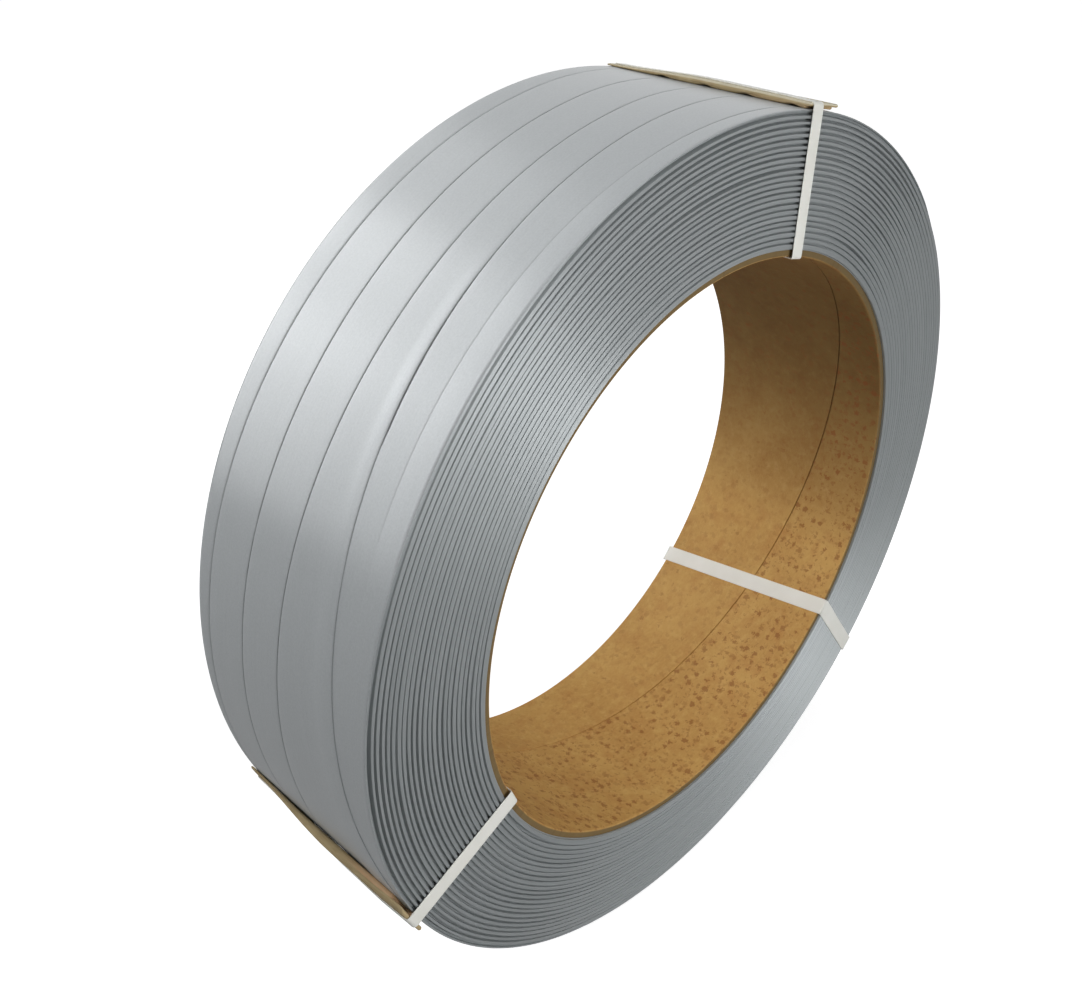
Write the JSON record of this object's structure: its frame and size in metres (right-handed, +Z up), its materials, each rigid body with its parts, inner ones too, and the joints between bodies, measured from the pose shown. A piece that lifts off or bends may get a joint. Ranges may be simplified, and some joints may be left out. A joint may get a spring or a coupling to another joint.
{
  "type": "polyester strapping coil",
  "caption": "Coil of flat grey polyester strapping wound on a paperboard core and tied with three white binding bands, two of them over cardboard edge protectors.",
  "frame": {"origin": "on the floor, under the middle of the coil as it stands on its rim", "axes": "+Z up; the coil's axis lies along Y and its near end faces -Y; +X to the right of that end"},
  "size_m": [0.5779, 0.1534, 0.5793],
  "materials": {
    "strap": "satin, light silver grey",
    "core_board": "matt brown paperboard with dark flecks",
    "protector_board": "matt brown cardboard",
    "band": "white, slightly glossy"
  },
  "bodies": {
    "root": {"core": "core_board", "wound_strap": "strap", "edge_protector_1": "protector_board", "edge_protector_2": "protector_board", "binding_band_1": "band", "binding_band_2": "band", "binding_band_3": "band"}
  },
  "joints": []
}
